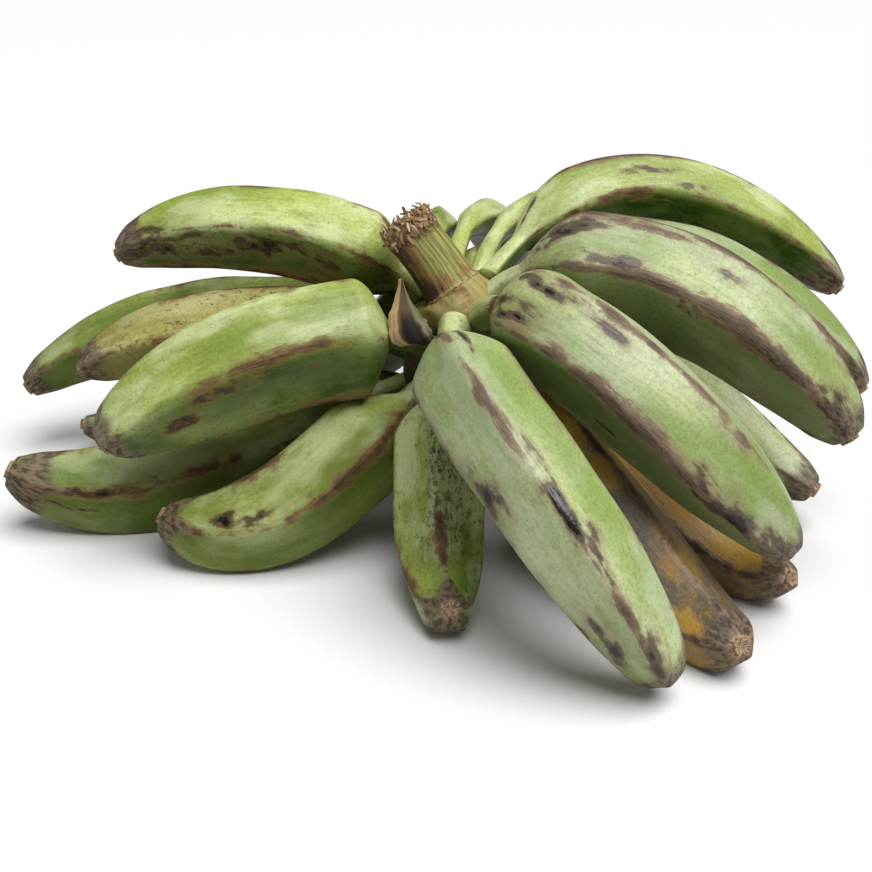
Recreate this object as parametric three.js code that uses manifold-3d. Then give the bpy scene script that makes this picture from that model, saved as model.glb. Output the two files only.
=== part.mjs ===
// A bunch of green cooking plantains on its cut stalk, set down on a table.
// Every finger is one skin swept along its own drooping route, five ridges round,
// from its stem in the crown to the dried flower end.
import * as THREE from "three";
import Module from "manifold-3d";

// Fingers
const RIDGES = 5;
const SIDES_PER_FACE = 2;
const STEM_RADIUS = 5.6;
const STEM_LENGTH = 20;
const STEM_FLARE = 0.22;
const STEM_ANGULAR = 0.15;
const BODY_ANGULAR = 0.72;
const SHOULDER = 0.21;
const TAPER_FROM = 0.38;
const TIP_SHARE = 0.4;
const STEM_STATIONS = [0, 0.5, 0.9];
const BODY_STATIONS = [0.035, 0.085, 0.15, 0.23, 0.33, 0.44, 0.55, 0.66, 0.76, 0.85, 0.92, 0.97, 0.995];
const STUB_LENGTH = 3;
const SOCKET_GAP = 0.45;

// Stalk and crown
const STALK_AXIS = new THREE.Vector3(-0.567, 0.206, 0.799);
const STALK_SIDES = 24;

// The bunch is laid out from a point under the stalk. Its footprint's centre is the origin.
const FOOTPRINT_X = -7.5;
const FOOTPRINT_Y = 36.8;

// Colours of the skins
const BLOOM_GREEN = 0x9db587;
const BRIGHT_GREEN = 0x8fa852;
const PALE_GREEN = 0xb9bd7a;
const RIPE_YELLOW = 0xb98c34;
const STALK_GREEN = 0x9a9a58;
const DRY_BROWN = 0x8a6a48;

// Each finger: name, four points of its route from stem root to flower end, radius of the
// body, roll of the ridges in degrees, colour, and what differs from the usual finger.
const SLIM_STEM = { stem: 4.2, stemLength: 34 };
const FINGERS = [
  ["upper_finger_front", [[8, 10, 103], [-4, -50, 110], [42.5, -115, 84], [86, -116, 10]], 22, 28, BLOOM_GREEN,
    { wide: 1.04, tip: 0.5, shoulder: 0.18, stemLength: 26 }],
  ["upper_finger_front_right", [[20, 13, 107], [30, -14, 134.3], [88, -76.5, 103], [142, -66, 36]], 24, 10, BLOOM_GREEN,
    { wide: 1.06, shoulder: 0.14 }],
  ["upper_finger_right", [[23.5, 24.5, 109.5], [44, 25, 142], [129, 1.5, 131], [173, -28, 68]], 26, 0, BLOOM_GREEN,
    { wide: 1.06, shoulder: 0.18 }],
  ["upper_finger_right_behind", [[27.5, 36.5, 108.5], [60, 68.5, 128], [140, 67.5, 127.8], [196, 27, 67]], 20, -15, BLOOM_GREEN,
    { stem: 5 }],
  ["upper_finger_top_right", [[24.5, 48.8, 112], [67, 111, 151.6], [136, 119, 148], [200, 90, 94.8]], 20.7, 0, BRIGHT_GREEN,
    { stem: 5, stemLength: 26 }],
  ["upper_finger_back_right", [[19.4, 57.6, 107.5], [30, 90, 141], [60, 148, 131], [104, 184, 62]], 16, 0, BRIGHT_GREEN,
    { shoulder: 0.45, stem: 4.4, stemLength: 34 }],
  ["upper_finger_back", [[7.4, 59.5, 108], [12, 90, 137], [28, 150, 127], [54, 200, 62]], 15, 0, BRIGHT_GREEN,
    { shoulder: 0.5, stem: 4.4, stemLength: 34 }],
  ["upper_finger_back_left", [[-3.3, 57.3, 107.2], [-0.4, 90, 131], [2, 150, 122], [0, 200, 60]], 15, 0, BRIGHT_GREEN,
    { shoulder: 0.5, stem: 4.4, stemLength: 34 }],
  ["upper_finger_left_behind", [[-4.5, 51, 96], [-21, 74.7, 112], [-50, 132, 113], [-84, 174, 56]], 17, 0, BRIGHT_GREEN,
    { stem: 4.6, stemLength: 24 }],
  ["upper_finger_left", [[-6, 44.5, 104.5], [-28, 55.7, 131.8], [-102, 82, 139], [-152, 77, 116]], 22, 0, BRIGHT_GREEN,
    { shoulder: 0.14, stemLength: 16 }],
  ["upper_finger_front_left", [[-6, 24, 91], [-34, 2, 107], [-100, -2, 92], [-144, -12, 57]], 27.5, 0, BRIGHT_GREEN,
    { shoulder: 0.12, stemLength: 18 }],
  ["lower_finger_left_pale", [[-7.5, 46, 87.5], [-52, 50.4, 87.4], [-120, 57.5, 93], [-168, 48, 68]], 21, 0, PALE_GREEN, {}],
  ["lower_finger_left_behind", [[-6.5, 52, 74], [-66, 115, 76], [-152, 130, 77], [-215, 104, 35]], 23, 0, BRIGHT_GREEN,
    {}],
  ["lower_finger_left_under", [[-2, 54, 60], [-58, 108, 28.5], [-124, 116, -4], [-184, 90, 20]], 19, 0, BRIGHT_GREEN, {}],
  ["lower_finger_left", [[-6, 40, 66], [-54, 63, 44], [-132, 16, -3], [-197, 14, 31]], 28, 0, BRIGHT_GREEN, {}],
  ["lower_finger_front_left", [[2, 24, 74], [-27, 1, 66.5], [-70, -22, -4], [-121, -16, 23]], 25, 0, BRIGHT_GREEN, {}],
  ["lower_finger_front", [[5.5, 16, 86], [0, -12, 84], [0, -50, -9], [6, -82, 17]], 21, 0, BRIGHT_GREEN, {}],
  ["lower_finger_ripe", [[20, 16, 88], [40, -24, 77], [96, -54, -8], [115, -107, 17]], 25, 0, RIPE_YELLOW, {}],
  ["lower_finger_ripe_right", [[28, 26, 80], [82, 15.5, 71], [117, -9, -10], [146, -60, 18]], 21, 0, RIPE_YELLOW, {}],
  ["lower_finger_right", [[29, 39.5, 84], [88, 62.5, 87.3], [140, 38, 34], [176, 13, 22]], 24, 0, BLOOM_GREEN,
    { beak: 1 }],
  ["middle_finger_back_right", [[28, 48, 100], [44, 75, 112], [101, 115, 62], [140, 136, 26]], 17, 0, BRIGHT_GREEN,
    SLIM_STEM],
  ["lower_finger_back_right", [[25, 50, 76], [64, 94, 62], [114, 96, -11], [166, 94, 18]], 19, 0, BRIGHT_GREEN, {}],
  ["lower_finger_back", [[15, 58, 78], [20, 100, 135], [31, 150, 46], [58, 190, 18]], 20, 0, BRIGHT_GREEN, {}],
  ["lower_finger_back_left", [[1.5, 58.5, 82], [-12, 98, 101], [-36, 150, 28], [-50, 186, 18]], 20, 0, BRIGHT_GREEN, {}],
];

// Rings of the stalk from its lower end to the cut: centre, how far the ring has turned
// from square to the stalk to level, half width left to right, half width front to back.
const STALK_RINGS = [
  [[7, 44, 54], 1, 15, 15],
  [[7, 42, 68], 1, 24, 24],
  [[10, 37, 84], 1, 24, 25],
  [[12, 36, 98], 1, 24, 27],
  [[11.5, 35.5, 105], 0.9, 22, 27],
  [[9.6, 31.4, 110], 0.6, 18, 22],
  [[7.4, 28.2, 113.6], 0.2, 14.6, 15.4],
  [[6.6, 27.6, 114.8], 0, 13.9, 13.9],
  [[5.6, 27.6, 116.6], 0, 12.7, 12.7],
  [[-0.4, 29.4, 126], 0, 11.9, 11.9],
  [[-10.6, 31.8, 138.8], 0, 11.8, 11.8],
  [[-14.6, 32.8, 144.2], 0, 11.8, 11.8],
];

// The withered bract beside the stalk's foot: spine from crown to point, widths, thickness
const BRACT_SPINE = [[-1, 14, 97], [-10, -3, 95], [-14, -1, 108], [-15, 9, 125]];
const BRACT_HALF_WIDTH = 8.6;
const BRACT_THICKNESS = 2.4;
const BRACT_CUP = 0.32;
const BRACT_STATIONS = 10;
const BRACT_COLUMNS = 6;

const smooth = (x) => {
  const k = Math.min(1, Math.max(0, x));
  return k * k * (3 - 2 * k);
};

const UP = new THREE.Vector3(0, 0, 1);
const place = (p) => new THREE.Vector3(p[0] - FOOTPRINT_X, p[1] - FOOTPRINT_Y, p[2]);

// Closed skin over rings of equal length, with a fan of triangles at each end
function skin(rings) {
  const sides = rings[0].length;
  const positions = [];
  const faces = [];
  for (const ring of rings) {
    for (const p of ring) positions.push(p.x, p.y, Math.max(0, p.z));
  }
  for (let i = 0; i < rings.length - 1; i += 1) {
    for (let j = 0; j < sides; j += 1) {
      const a = i * sides + j;
      const b = i * sides + ((j + 1) % sides);
      faces.push(a, b, b + sides, a, b + sides, a + sides);
    }
  }
  for (const end of [0, rings.length - 1]) {
    const centre = new THREE.Vector3();
    for (const p of rings[end]) centre.addScaledVector(p, 1 / sides);
    const hub = positions.length / 3;
    positions.push(centre.x, centre.y, Math.max(0, centre.z));
    for (let j = 0; j < sides; j += 1) {
      const a = end * sides + j;
      const b = end * sides + ((j + 1) % sides);
      if (end === 0) faces.push(hub, b, a);
      else faces.push(hub, a, b);
    }
  }
  const geometry = new THREE.BufferGeometry();
  geometry.setAttribute("position", new THREE.Float32BufferAttribute(positions, 3));
  geometry.setIndex(faces);
  geometry.computeVertexNormals();
  return geometry;
}

// How thick, how angular and how much wider than deep a finger is at one station
function sectionOf(s, stemLength, bodyLength, radius, shape) {
  const stem = shape.stem ?? STEM_RADIUS;
  const u = (s - stemLength) / bodyLength;
  if (u <= 0) {
    return { r: stem * (1 + STEM_FLARE * (1 - s / stemLength) ** 2), angular: STEM_ANGULAR, wide: 1 };
  }
  const start = stem / radius;
  const rise = start + (1 - start) * smooth(u / (shape.shoulder ?? SHOULDER)) ** 0.7;
  const x = Math.max(0, (u - TAPER_FROM) / (1 - TAPER_FROM));
  const fall = 1 - (1 - (shape.tip ?? TIP_SHARE)) * x ** (2.5 - 1.1 * (shape.beak ?? 0));
  const round = u > 0.93 ? 1 - 0.28 * ((u - 0.93) / 0.07) ** 2 : 1;
  return {
    r: radius * rise * fall * round,
    angular: STEM_ANGULAR + (BODY_ANGULAR - STEM_ANGULAR) * smooth(u / 0.25),
    wide: 1 + ((shape.wide ?? 1) - 1) * smooth(u / 0.25),
  };
}

// One finger. With grow, the same shape a little larger, to cut its socket.
function fingerGeometry(route, radius, roll, shape, grow = 0) {
  const curve = new THREE.CubicBezierCurve3(...route.map(place));
  curve.arcLengthDivisions = 240;
  const length = curve.getLength();
  const stemLength = shape.stemLength ?? STEM_LENGTH;
  const bodyLength = length - stemLength;
  const stations = STEM_STATIONS.map((x) => x * stemLength);
  for (const x of BODY_STATIONS) stations.push(stemLength + x * bodyLength);
  const across = curve.v3.clone().sub(curve.v0).cross(UP).normalize();
  const sides = RIDGES * SIDES_PER_FACE;
  const step = (2 * Math.PI) / RIDGES;
  const rings = [];
  let along;
  let centre;
  for (const s of stations) {
    centre = curve.getPointAt(s / length);
    along = curve.getPointAt(Math.min(s + 1, length) / length);
    along.sub(curve.getPointAt(Math.max(s - 1, 0) / length)).normalize();
    if (s === 0) centre.addScaledVector(along, -grow);
    const side = across.clone().addScaledVector(along, -across.dot(along)).normalize();
    const out = new THREE.Vector3().crossVectors(side, along);
    const { r, angular, wide } = sectionOf(s, stemLength, bodyLength, radius, shape);
    const ring = [];
    for (let j = 0; j < sides; j += 1) {
      const share = ((j / sides) * RIDGES) % 1;
      const depth = 1 - Math.cos(step / 2) / Math.cos((share - 0.5) * step);
      const reach = r * (1 - angular * depth) + grow;
      const angle = (j / sides) * 2 * Math.PI + THREE.MathUtils.degToRad(roll);
      const p = centre.clone().addScaledVector(out, reach * Math.cos(angle));
      ring.push(p.addScaledVector(side, wide * reach * Math.sin(angle)));
    }
    rings.push(ring);
  }
  // dried flower end
  for (const [share, ahead] of [[0.62, 1], [0.5, STUB_LENGTH]]) {
    const last = rings[stations.length - 1];
    rings.push(last.map((p) => p.clone().sub(centre).multiplyScalar(share).add(centre).addScaledVector(along, ahead)));
  }
  return skin(rings);
}

// Stalk, ring scar, crown and the part between the two hands
function stalkGeometry() {
  const rings = [];
  for (const [at, level, halfX, halfY] of STALK_RINGS) {
    const axis = STALK_AXIS.clone().multiplyScalar(1 - level).addScaledVector(UP, level).normalize();
    const right = new THREE.Vector3(0, 1, 0).cross(axis).normalize();
    const back = new THREE.Vector3().crossVectors(axis, right);
    const ring = [];
    for (let j = 0; j < STALK_SIDES; j += 1) {
      const angle = (j / STALK_SIDES) * 2 * Math.PI;
      const p = place(at).addScaledVector(right, halfX * Math.cos(angle));
      ring.push(p.addScaledVector(back, halfY * Math.sin(angle)));
    }
    rings.push(ring);
  }
  return skin(rings);
}

// Thin cupped blade, pointed at the top, its foot sunk in the crown
function bractGeometry(grow = 0) {
  const curve = new THREE.CubicBezierCurve3(...BRACT_SPINE.map(place));
  const rings = [];
  for (let i = 0; i < BRACT_STATIONS; i += 1) {
    const u = i / (BRACT_STATIONS - 1);
    const centre = curve.getPointAt(u);
    const along = curve.getTangentAt(u);
    const side = new THREE.Vector3(0.94, 0.34, 0);
    side.addScaledVector(along, -side.dot(along)).normalize();
    const out = new THREE.Vector3().crossVectors(side, along);
    if (i === 0) centre.addScaledVector(along, -grow);
    const half = BRACT_HALF_WIDTH * (0.35 + 0.65 * smooth(u / 0.45)) * (1 - 0.82 * smooth((u - 0.45) / 0.55)) + grow;
    const thick = BRACT_THICKNESS / 2 + grow;
    const ring = [];
    for (const face of [1, -1]) {
      for (let j = 0; j < BRACT_COLUMNS; j += 1) {
        const v = face * ((2 * j) / (BRACT_COLUMNS - 1) - 1);
        const p = centre.clone().addScaledVector(side, v * half);
        ring.push(p.addScaledVector(out, face * thick - BRACT_CUP * half * v * v));
      }
    }
    rings.push(ring);
  }
  return skin(rings);
}

const wasm = await Module();
wasm.setup();

function toSolid(geometry) {
  const vertProperties = new Float32Array(geometry.getAttribute("position").array);
  const triVerts = new Uint32Array(geometry.getIndex().array);
  return new wasm.Manifold(new wasm.Mesh({ numProp: 3, vertProperties, triVerts }));
}

function toGeometry(solid) {
  const mesh = solid.getMesh();
  const geometry = new THREE.BufferGeometry();
  geometry.setAttribute("position", new THREE.Float32BufferAttribute(mesh.vertProperties, 3));
  geometry.setIndex(Array.from(mesh.triVerts));
  geometry.computeVertexNormals();
  return geometry;
}

const bunch = new THREE.Group();
bunch.name = "plantain_bunch";

function addMesh(name, geometry, color, roughness) {
  const material = new THREE.MeshStandardMaterial({ color, roughness, metalness: 0 });
  const mesh = new THREE.Mesh(geometry, material);
  mesh.name = name;
  bunch.add(mesh);
}

let stalk = toSolid(stalkGeometry());
for (const [name, route, radius, roll, color, shape] of FINGERS) {
  addMesh(name, fingerGeometry(route, radius, roll, shape), color, 0.55);
  stalk = stalk.subtract(toSolid(fingerGeometry(route, radius, roll, shape, SOCKET_GAP)));
}
addMesh("withered_bract", bractGeometry(), DRY_BROWN, 0.85);
stalk = stalk.subtract(toSolid(bractGeometry(SOCKET_GAP)));
addMesh("stalk", toGeometry(stalk), STALK_GREEN, 0.8);

export default bunch;
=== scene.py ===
"""A bunch of green cooking plantains on its cut stalk, on a pale floor. Metres, +Z up."""

import math

import bpy
import numpy as np
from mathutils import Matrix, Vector


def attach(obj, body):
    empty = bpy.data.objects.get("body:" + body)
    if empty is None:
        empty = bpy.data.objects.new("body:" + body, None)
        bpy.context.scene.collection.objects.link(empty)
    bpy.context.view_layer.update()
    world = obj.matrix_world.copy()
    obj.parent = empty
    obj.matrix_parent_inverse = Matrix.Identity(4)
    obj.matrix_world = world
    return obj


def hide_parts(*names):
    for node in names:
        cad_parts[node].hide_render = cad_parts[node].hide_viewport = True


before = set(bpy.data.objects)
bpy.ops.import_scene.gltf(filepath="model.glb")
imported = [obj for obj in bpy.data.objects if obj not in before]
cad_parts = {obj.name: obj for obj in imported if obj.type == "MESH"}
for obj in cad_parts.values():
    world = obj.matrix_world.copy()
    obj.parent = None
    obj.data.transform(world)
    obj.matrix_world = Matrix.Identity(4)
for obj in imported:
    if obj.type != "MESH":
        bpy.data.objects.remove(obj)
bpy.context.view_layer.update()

# Routes and places below are in millimetres, with the footprint's middle at FOOTPRINT
MM = 0.001
FOOTPRINT = np.array([-7.5, 36.8, 0.0])
TURN = 2 * math.pi

# Camera: the photograph's angle, from the front and 25 degrees up
CAMERA_AT = (np.array([0.0, -489.4, 283.2]) - FOOTPRINT) * MM
CAMERA_PITCH = 25.0
LENS = 50
SENSOR_WIDTH = 36
camera_data = bpy.data.cameras.new("camera")
camera_data.lens = LENS
camera_data.sensor_width = SENSOR_WIDTH
camera = bpy.data.objects.new("camera", camera_data)
camera.location = Vector(CAMERA_AT)
camera.rotation_euler = (math.radians(90 - CAMERA_PITCH), 0, 0)
bpy.context.collection.objects.link(camera)
bpy.context.scene.camera = camera

# Fingers, as in the solids: the stem in mm, all else as shares of the body or of its radius
RIDGES = 5
FACE_TURN = TURN / RIDGES
STEM_RADIUS = 5.6
STEM_LENGTH = 20
STEM_FLARE = 0.22
STEM_ANGULAR = 0.15
BODY_ANGULAR = 0.84
SHOULDER = 0.21
SHOULDER_CURVE = 0.7
TAPER_FROM = 0.38
TAPER_CURVE = 2.5
BEAK_CURVE = 1.1
TIP_SHARE = 0.4
END_FROM = 0.93
END_ROUNDING = 0.28
FULL_SECTION_AT = 0.25
SLIM = {"stem": 4.2, "stem_length": 34}

# Fine skin: points round and along, closer together at both ends of the body
AROUND = 90
ALONG_STEM = 16
ALONG_BODY = 130
CROWDING = 0.35
BODY_USED = 0.998
ROUTE_POINTS = 481

# Unevenness: ridges rounded in degrees, the stem's swelling in its socket and slow waves in mm
RIDGE_SOFTNESS = 4.0
FACE_POINTS = 360
SOFT_REACH = 120
SOCKET_SWELLING = 0.12
SOCKET_DEPTH = 3.2
SWAY = np.radians(4)
SWAY_LENGTH = 140
WAVE_HEIGHT = 0.35
WAVE_LENGTH = 60

# Dried flower end: rings as shares of the last ring, and mm ahead of it
COLLAR = [
    (0.88, 0.6),
    (0.7, 1.0),
    (0.58, 1.3),
    (0.54, 1.9),
    (0.56, 2.5),
    (0.5, 2.7),
    (0.36, 2.2),
    (0.2, 1.7),
    (0.06, 1.6),
]
COLLAR_RAGGED = 0.06

# Brown lines on the ridges, in degrees round the finger
LINE_BREADTH = 3.6
WEAR_BREADTH = 5
WEAR_SPREAD = 13

# Whole numbers that scramble a place into a random value
SCRAMBLE_X = 73856093
SCRAMBLE_Y = 19349663
SCRAMBLE_Z = 83492791
SCRAMBLE_SEED = 2654435
SCRAMBLE_MIX = 1274126177

# Name: route from stem root to flower end, radius, roll of the ridges, skin, shape
FINGERS = {
    "upper_finger_front": (
        [[8, 10, 103], [-4, -50, 110], [42.5, -115, 84], [86, -116, 10]],
        22, 28, "bloom", {"wide": 1.04, "tip": 0.5, "shoulder": 0.18, "stem_length": 26}),
    "upper_finger_front_right": (
        [[20, 13, 107], [30, -14, 134.3], [88, -76.5, 103], [142, -66, 36]],
        24, 10, "bloom", {"wide": 1.06, "shoulder": 0.14}),
    "upper_finger_right": (
        [[23.5, 24.5, 109.5], [44, 25, 142], [129, 1.5, 131], [173, -28, 68]],
        26, 0, "bloom", {"wide": 1.06, "shoulder": 0.18}),
    "upper_finger_right_behind": (
        [[27.5, 36.5, 108.5], [60, 68.5, 128], [140, 67.5, 127.8], [196, 27, 67]],
        20, -15, "bloom", {"stem": 5}),
    "upper_finger_top_right": (
        [[24.5, 48.8, 112], [67, 111, 151.6], [136, 119, 148], [200, 90, 94.8]],
        20.7, 0, "bright", {"stem": 5, "stem_length": 26}),
    "upper_finger_back_right": (
        [[19.4, 57.6, 107.5], [30, 90, 141], [60, 148, 131], [104, 184, 62]],
        16, 0, "bright", {"shoulder": 0.45, "stem": 4.4, "stem_length": 34}),
    "upper_finger_back": (
        [[7.4, 59.5, 108], [12, 90, 137], [28, 150, 127], [54, 200, 62]],
        15, 0, "bright", {"shoulder": 0.5, "stem": 4.4, "stem_length": 34}),
    "upper_finger_back_left": (
        [[-3.3, 57.3, 107.2], [-0.4, 90, 131], [2, 150, 122], [0, 200, 60]],
        15, 0, "bright", {"shoulder": 0.5, "stem": 4.4, "stem_length": 34}),
    "upper_finger_left_behind": (
        [[-4.5, 51, 96], [-21, 74.7, 112], [-50, 132, 113], [-84, 174, 56]],
        17, 0, "bright", {"stem": 4.6, "stem_length": 24}),
    "upper_finger_left": (
        [[-6, 44.5, 104.5], [-28, 55.7, 131.8], [-102, 82, 139], [-152, 77, 116]],
        22, 0, "bright", {"shoulder": 0.14, "stem_length": 16}),
    "upper_finger_front_left": (
        [[-6, 24, 91], [-34, 2, 107], [-100, -2, 92], [-144, -12, 57]],
        27.5, 0, "bright", {"shoulder": 0.12, "stem_length": 18}),
    "lower_finger_left_pale": (
        [[-7.5, 46, 87.5], [-52, 50.4, 87.4], [-120, 57.5, 93], [-168, 48, 68]],
        21, 0, "pale", {}),
    "lower_finger_left_behind": (
        [[-6.5, 52, 74], [-66, 115, 76], [-152, 130, 77], [-215, 104, 35]],
        23, 0, "bright", {}),
    "lower_finger_left_under": (
        [[-2, 54, 60], [-58, 108, 28.5], [-124, 116, -4], [-184, 90, 20]],
        19, 0, "bright", {}),
    "lower_finger_left": (
        [[-6, 40, 66], [-54, 63, 44], [-132, 16, -3], [-197, 14, 31]],
        28, 0, "bright", {}),
    "lower_finger_front_left": (
        [[2, 24, 74], [-27, 1, 66.5], [-70, -22, -4], [-121, -16, 23]],
        25, 0, "bright", {}),
    "lower_finger_front": (
        [[5.5, 16, 86], [0, -12, 84], [0, -50, -9], [6, -82, 17]],
        21, 0, "bright", {}),
    "lower_finger_ripe": (
        [[20, 16, 88], [40, -24, 77], [96, -54, -8], [115, -107, 17]],
        25, 0, "ripe", {}),
    "lower_finger_ripe_right": (
        [[28, 26, 80], [82, 15.5, 71], [117, -9, -10], [146, -60, 18]],
        21, 0, "ripe", {}),
    "lower_finger_right": (
        [[29, 39.5, 84], [88, 62.5, 87.3], [140, 38, 34], [176, 13, 22]],
        24, 0, "bloom", {"beak": 1}),
    "middle_finger_back_right": (
        [[28, 48, 100], [44, 75, 112], [101, 115, 62], [140, 136, 26]],
        17, 0, "bright", SLIM),
    "lower_finger_back_right": (
        [[25, 50, 76], [64, 94, 62], [114, 96, -11], [166, 94, 18]],
        19, 0, "bright", {}),
    "lower_finger_back": (
        [[15, 58, 78], [20, 100, 135], [31, 150, 46], [58, 190, 18]],
        20, 0, "bright", {}),
    "lower_finger_back_left": (
        [[1.5, 58.5, 82], [-12, 98, 101], [-36, 150, 28], [-50, 186, 18]],
        20, 0, "bright", {}),
}

# How each finger is marked: wear on its five ridges, painted shade as darker green and flecks on the
# five faces between them, brown at the tip, and scars as share along, degrees round, length and
# width in mm, and strength
USUAL = {
    "wear": (0.45, 0.45, 0.45, 0.4, 0.45),
    "deep": (0.1, 0.4, 0.8, 0.4, 0.1),
    "fleck": (0.35, 0.7, 0.7, 0.7, 0.35),
    "stains": 0.4,
    "tip": 0.6,
    "scars": (),
}
BLOOM_MARKS = {"fleck": (0.2, 0.4, 0.3, 0.3, 0.2), "deep": (0.1, 0.85, 0.8, 0.3, 0.1)}
CLEAN_MARKS = {
    "wear": (0.1, 0.15, 0.15, 0.15, 0.15),
    "fleck": (0.15, 0.2, 0.2, 0.2, 0.15),
    "deep": (0.2, 0.9, 1.0, 0.9, 0.2),
}
MARKS = {
    "upper_finger_front": {
        **BLOOM_MARKS,
        "wear": (0.55, 0.35, 0.3, 0.3, 0.3),
        "deep": (0.45, 0.6, 0.4, 0.4, 0.05),
        "scars": (
            (0.6, 24, 46, 6, 1.0),
            (0.64, 20, 12, 8, 1.1),
            (0.48, 16, 26, 4, 0.8),
            (0.07, 34, 30, 6, 0.8),
            (0.47, 88, 26, 12, 0.7),
            (0.84, 76, 30, 10, 0.7),
            (0.14, 10, 26, 3, 0.7),
            (0.9, 22, 24, 12, 0.6),
        ),
    },
    "upper_finger_front_right": {
        **BLOOM_MARKS,
        "wear": (0.45, 0.7, 0.3, 0.3, 0.3),
        "stains": 0.5,
        "scars": (
            (0.1, 62, 44, 10, 0.9),
            (0.74, 82, 50, 12, 0.85),
            (0.16, 24, 30, 8, 0.7),
            (0.34, 26, 20, 5, 0.6),
            (0.45, 120, 14, 2.5, 0.9),
            (0.92, 70, 24, 14, 0.7),
            (0.01, 20, 9, 9, 0.95),
        ),
    },
    "upper_finger_right": {
        **BLOOM_MARKS,
        "wear": (0.75, 0.7, 0.3, 0.3, 0.4),
        "stains": 0.9,
        "scars": (
            (0.12, 22, 40, 12, 0.65),
            (0.47, 84, 12, 7, 1.0),
            (0.24, 62, 40, 8, 0.75),
            (0.5, 24, 24, 7, 0.6),
            (0.03, 80, 16, 6, 0.8),
            (0.92, 66, 26, 16, 0.8),
        ),
    },
    "upper_finger_right_behind": {
        **BLOOM_MARKS,
        "wear": (0.6, 0.95, 0.4, 0.3, 0.4),
        "deep": (0.15, 1.0, 0.8, 0.3, 0.1),
    },
    "upper_finger_top_right": {
        "wear": (0.5, 0.6, 0.3, 0.3, 0.4),
        "deep": (0.3, 1.3, 1.2, 0.4, 0.05),
        "fleck": (0.2, 0.9, 0.6, 0.5, 0.2),
        "scars": ((0.4, 34, 36, 6, 0.8), (0.52, 60, 24, 5, 0.9)),
    },
    "upper_finger_back_right": CLEAN_MARKS,
    "upper_finger_back": CLEAN_MARKS,
    "upper_finger_back_left": CLEAN_MARKS,
    "upper_finger_left_behind": CLEAN_MARKS,
    "middle_finger_back_right": CLEAN_MARKS,
    "upper_finger_left": {
        "wear": (0.35, 0.3, 0.3, 0.5, 0.8),
        "deep": (0.1, 0.2, 0.6, 1.0, 0.05),
        "fleck": (0.25, 0.2, 0.7, 1.3, 0.15),
        "tip": 1.1,
        "stains": 0.7,
        "scars": (
            (0.45, 262, 34, 14, 0.7),
            (0.2, 256, 24, 10, 0.6),
            (0.9, 285, 34, 16, 0.8),
            (0.8, 262, 20, 12, 0.7),
            (0.94, 330, 20, 14, 0.7),
            (0.62, 250, 26, 9, 0.65),
            (0.32, 268, 18, 8, 0.6),
            (0.72, 274, 30, 7, 0.7),
        ),
    },
    "upper_finger_front_left": {
        "wear": (0.3, 0.3, 0.3, 0.5, 0.4),
        "deep": (0.1, 0.2, 1.1, 1.1, 0.35),
        "fleck": (0.3, 0.2, 0.9, 0.8, 0.4),
        "tip": 0.8,
        "scars": ((0.72, 258, 20, 8, 0.8), (0.55, 276, 30, 7, 0.7)),
    },
    "lower_finger_left_pale": {
        "fleck": (1.2, 1.0, 0.8, 1.3, 1.2),
        "deep": (0.3, 0.3, 0.6, 0.9, 0.4),
    },
    "lower_finger_left_behind": {
        "fleck": (0.6, 0.7, 0.8, 1.1, 0.8),
        "deep": (0.6, 0.6, 0.8, 1.0, 0.6),
    },
    "lower_finger_left": {
        "wear": (0.4, 0.35, 0.35, 0.4, 0.5),
        "tip": 1.0,
        "deep": (0.5, 0.5, 0.7, 0.9, 0.6),
        "scars": ((0.8, 290, 34, 6, 0.9), (0.86, 262, 30, 5, 0.9)),
    },
    "lower_finger_front_left": {
        "wear": (0.4, 0.35, 0.35, 0.4, 0.5),
        "tip": 0.8,
        "deep": (0.5, 0.5, 0.7, 0.9, 0.6),
        "scars": ((0.7, 305, 30, 10, 0.9),),
    },
    "lower_finger_front": {
        "fleck": (1.2, 1.2, 0.7, 0.7, 1.2),
        "deep": (0.3, 0.4, 0.6, 0.4, 0.3),
    },
    "lower_finger_ripe": {
        "wear": (0.5, 0.5, 0.4, 0.4, 0.5),
        "deep": (0.1, 0.4, 0.8, 0.4, 0.1),
        "fleck": (0.5, 0.6, 0.6, 0.6, 0.5),
        "stains": 1.2,
        "tip": 0.7,
    },
    "lower_finger_ripe_right": {
        "deep": (0, 0.3, 0.6, 0.3, 0),
        "fleck": (0.9, 1.0, 0.9, 0.9, 0.9),
        "stains": 0.3,
        "tip": 0.9,
    },
}


def smooth(x):
    k = np.clip(x, 0, 1)
    return k * k * (3 - 2 * k)


def soft_facets(share):
    """Depth of the section below its circle, the ridges rounded a little."""
    table = np.linspace(0, 1, FACE_POINTS + 1)[:-1]
    depth = 1 - math.cos(FACE_TURN / 2) / np.cos((table - 0.5) * FACE_TURN)
    spread = RIDGE_SOFTNESS / math.degrees(FACE_TURN) * FACE_POINTS
    reach = np.arange(-SOFT_REACH, SOFT_REACH + 1)
    weight = np.exp(-0.5 * (reach / spread) ** 2)
    weight /= weight.sum()
    wide = np.concatenate([depth] * 3)
    soft = np.convolve(wide, weight, "same")[FACE_POINTS:2 * FACE_POINTS]
    return np.interp(share % 1.0, np.append(table, 1), np.append(soft, soft[0]))


def lumps(along, around, seed, size):
    """Slow unevenness from a few waves, between about -1 and 1."""
    draw = np.random.default_rng(seed)
    total = 0
    for _ in range(5):
        turns = draw.integers(1, 4)
        length = size * draw.uniform(0.6, 1.6)
        start = draw.uniform(0, 6.28)
        total = total + np.sin(along / length * TURN + turns * around + start)
    return total / 3


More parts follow.
